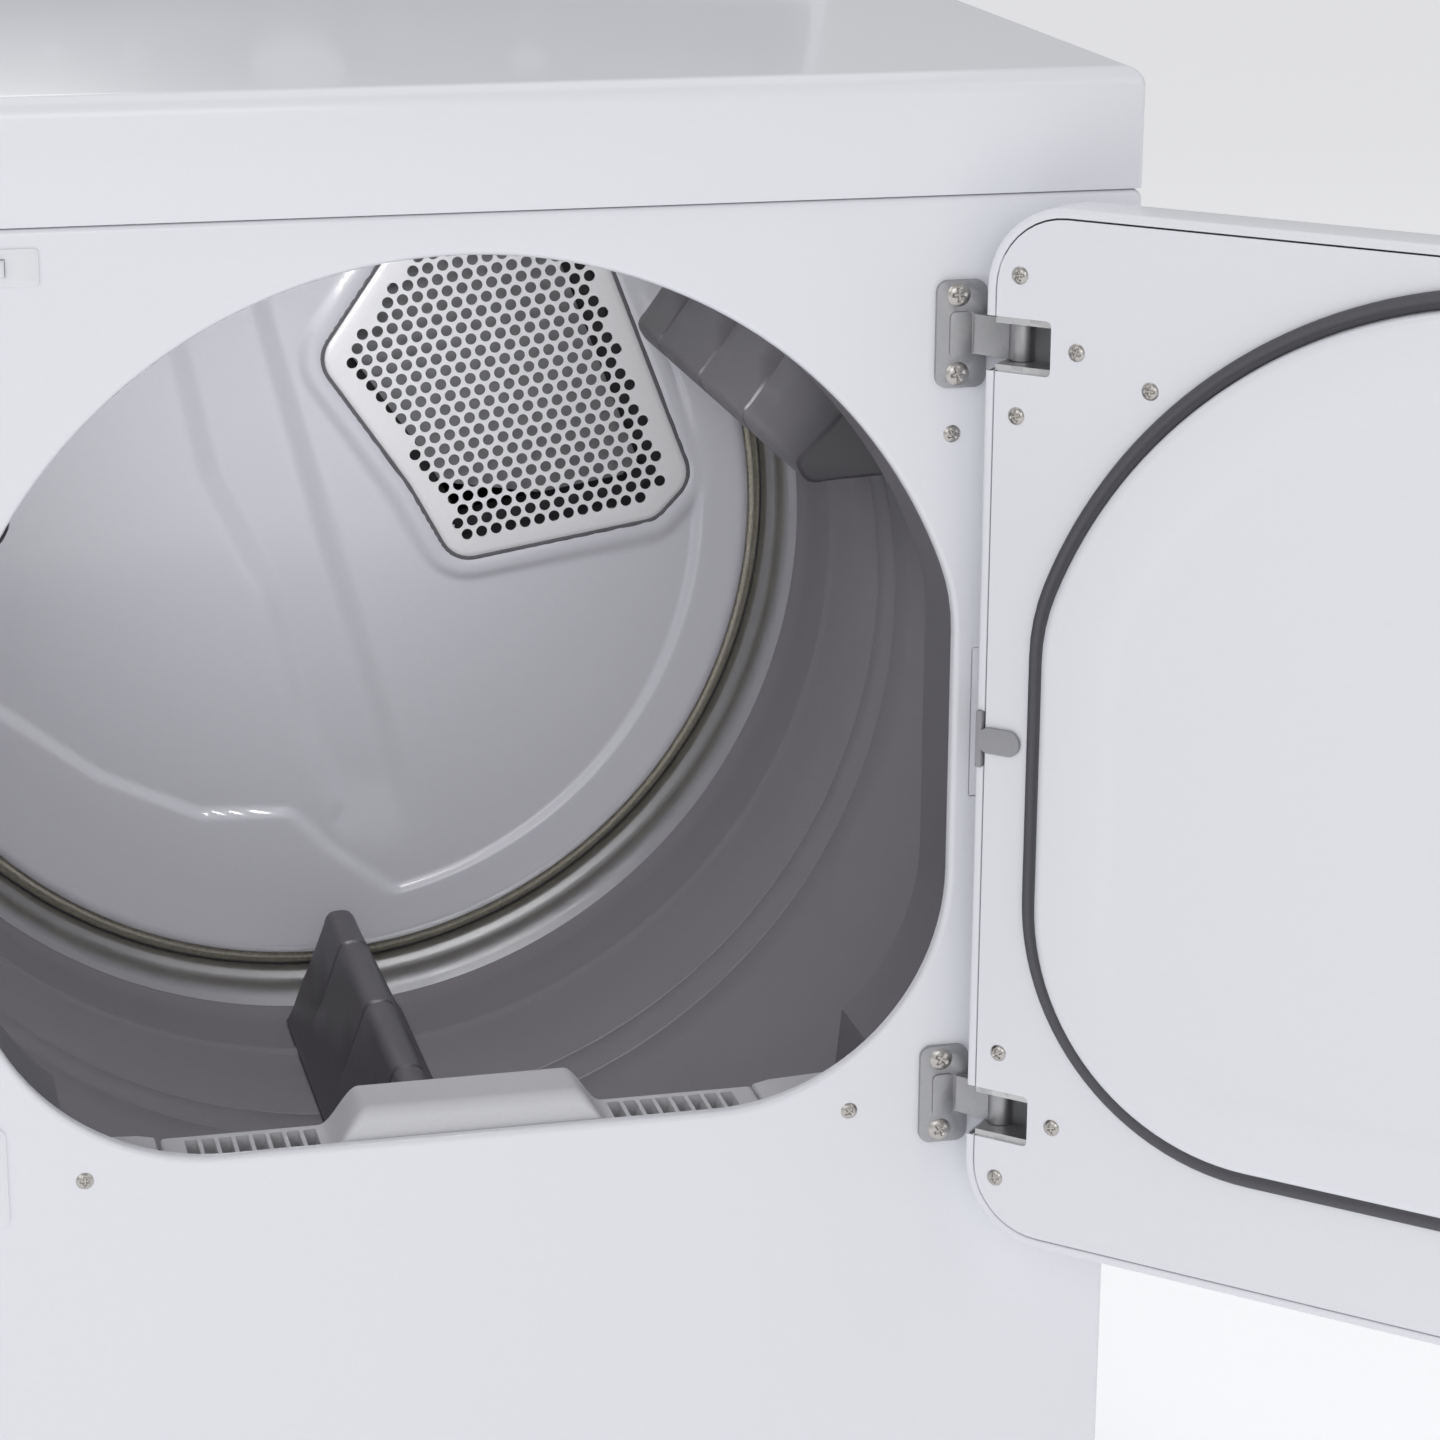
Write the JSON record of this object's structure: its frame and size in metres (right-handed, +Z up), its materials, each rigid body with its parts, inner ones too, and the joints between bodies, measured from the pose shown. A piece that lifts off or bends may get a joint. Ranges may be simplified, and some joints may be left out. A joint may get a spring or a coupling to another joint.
{
  "type": "clothes dryer",
  "caption": "Front-loading tumble dryer with a side-swing door, rear console, belt-driven drum, lint filter and rear exhaust.",
  "frame": {"origin": "on the floor, under the centre of the cabinet's footprint", "axes": "+Z up, +Y towards the back, +X to the right of a person facing the door"},
  "size_m": [1.0303, 1.1723, 1.13],
  "materials": {
    "white_steel": "satin white enamel",
    "drum_steel": "charcoal powder coat",
    "wall_enamel": "gloss light grey enamel",
    "galvanised": "galvanised sheet",
    "zinc": "die-cast zinc",
    "screw_steel": "nickel plated",
    "dark_plastic": "moulded dark grey",
    "grey_plastic": "fine textured light grey",
    "white_plastic": "moulded white",
    "felt": "pressed wool felt",
    "seal_rubber": "soft dark grey",
    "belt_rubber": "ribbed black",
    "aluminium": "spiral pipe sheet",
    "motor_steel": "dark painted shell",
    "heater_wire": "oxidised resistance wire",
    "board": "circuit board"
  },
  "bodies": {
    "cabinet": {"base_pan": "galvanised", "side_panel_left": "white_steel", "side_panel_right": "white_steel", "front_panel": "white_steel", "top_cover": "white_steel", "back_panel": "galvanised", "terminal_block": "dark_plastic", "terminal_cover": "galvanised", "levelling_feet": "dark_plastic", "console_housing": "white_plastic", "console_fascia": "white_plastic", "control_board": "board", "front_bulkhead": "galvanised", "front_felt": "felt", "rear_felt": "felt", "rear_bulkhead": "wall_enamel", "rear_grille": "wall_enamel", "roller_axles": "screw_steel", "lint_housing": "grey_plastic", "lint_duct": "white_plastic", "blower_housing": "galvanised", "exhaust_duct": "aluminium", "heater_housing": "galvanised", "heater_coils": "heater_wire", "thermostats": "aluminium", "drive_belt": "belt_rubber", "motor": "motor_steel", "motor_bracket": "galvanised", "hinge_plates": "zinc", "latch_catch": "dark_plastic", "hole_covers": "white_plastic", "door_switch": "white_plastic", "hinge_screws": "screw_steel", "cabinet_screws": "screw_steel"},
    "drum": {"drum_shell": "drum_steel", "drum_rear_band": "galvanised", "baffle_1": "dark_plastic", "baffle_2": "dark_plastic", "baffle_3": "dark_plastic"},
    "left_roller": {"roller_left": "seal_rubber"},
    "right_roller": {"roller_right": "seal_rubber"},
    "idler": {"idler_arm": "galvanised"},
    "idler_wheel": {"idler_pulley": "dark_plastic"},
    "rotor": {"motor_shaft": "screw_steel", "blower_wheel": "dark_plastic"},
    "filter": {"lint_filter": "grey_plastic"},
    "knob": {"cycle_knob": "grey_plastic"},
    "dryness": {"dryness_button": "grey_plastic"},
    "heat": {"heat_button": "grey_plastic"},
    "start": {"start_button": "grey_plastic"},
    "plunger": {"switch_plunger": "white_plastic"},
    "door": {"door_shell": "white_steel", "door_grip": "white_plastic", "door_inner_panel": "white_steel", "door_seal": "seal_rubber", "door_screws": "screw_steel", "door_strike": "screw_steel", "door_blank": "grey_plastic", "hinge_leaves": "galvanised", "hinge_pins": "screw_steel"}
  },
  "joints": [
    {"name": "door_swing", "type": "hinge", "parent": "cabinet", "child": "door", "pos_m": [0.275, -0.3715, 0.654], "axis": [0, 0, 1], "range_deg": [-135.8, 14.2]},
    {"name": "drum_spin", "type": "hinge", "parent": "cabinet", "child": "drum", "pos_m": [0, 0, 0.627], "axis": [0, 1, 0], "continuous": true},
    {"name": "left_roller_spin", "type": "hinge", "parent": "cabinet", "child": "left_roller", "pos_m": [-0.20666, 0.171, 0.33186], "axis": [0, 1, 0], "continuous": true},
    {"name": "right_roller_spin", "type": "hinge", "parent": "cabinet", "child": "right_roller", "pos_m": [0.20666, 0.171, 0.33186], "axis": [0, 1, 0], "continuous": true},
    {"name": "motor_spin", "type": "hinge", "parent": "cabinet", "child": "rotor", "pos_m": [-0.11, -0.1, 0.14], "axis": [0, 1, 0], "continuous": true},
    {"name": "idler_arm_swing", "type": "hinge", "parent": "cabinet", "child": "idler", "pos_m": [-0.06, 0, 0.06], "axis": [0, 1, 0], "range_deg": [0, 5], "stiffness_Nm_per_rad": 12},
    {"name": "idler_spin", "type": "hinge", "parent": "idler", "child": "idler_wheel", "pos_m": [-0.01775, -0.03, 0.16891], "axis": [0, 1, 0], "continuous": true},
    {"name": "filter_lift", "type": "slide", "parent": "cabinet", "child": "filter", "axis": [0, 0, 1], "range_m": [0, 0.2]},
    {"name": "knob_turn", "type": "hinge", "parent": "cabinet", "child": "knob", "pos_m": [0, 0.261, 1.06], "axis": [0, -0.9003, 0.4352], "continuous": true},
    {"name": "dryness_press", "type": "slide", "parent": "cabinet", "child": "dryness", "axis": [0, 0.9003, -0.4352], "range_m": [0, 0.003], "stiffness_N_per_m": 800},
    {"name": "heat_press", "type": "slide", "parent": "cabinet", "child": "heat", "axis": [0, 0.9003, -0.4352], "range_m": [0, 0.003], "stiffness_N_per_m": 800},
    {"name": "start_press", "type": "slide", "parent": "cabinet", "child": "start", "axis": [0, 0.9003, -0.4352], "range_m": [0, 0.003], "stiffness_N_per_m": 800},
    {"name": "plunger_press", "type": "slide", "parent": "cabinet", "child": "plunger", "axis": [0, 1, 0], "range_m": [0, 0.004], "stiffness_N_per_m": 300}
  ],
  "couplings": [
    {"joint": "left_roller_spin", "follows": "drum_spin", "ratio": -8.4737},
    {"joint": "right_roller_spin", "follows": "drum_spin", "ratio": -8.4737},
    {"joint": "motor_spin", "follows": "drum_spin", "ratio": 24},
    {"joint": "idler_spin", "follows": "drum_spin", "ratio": -14.862}
  ]
}
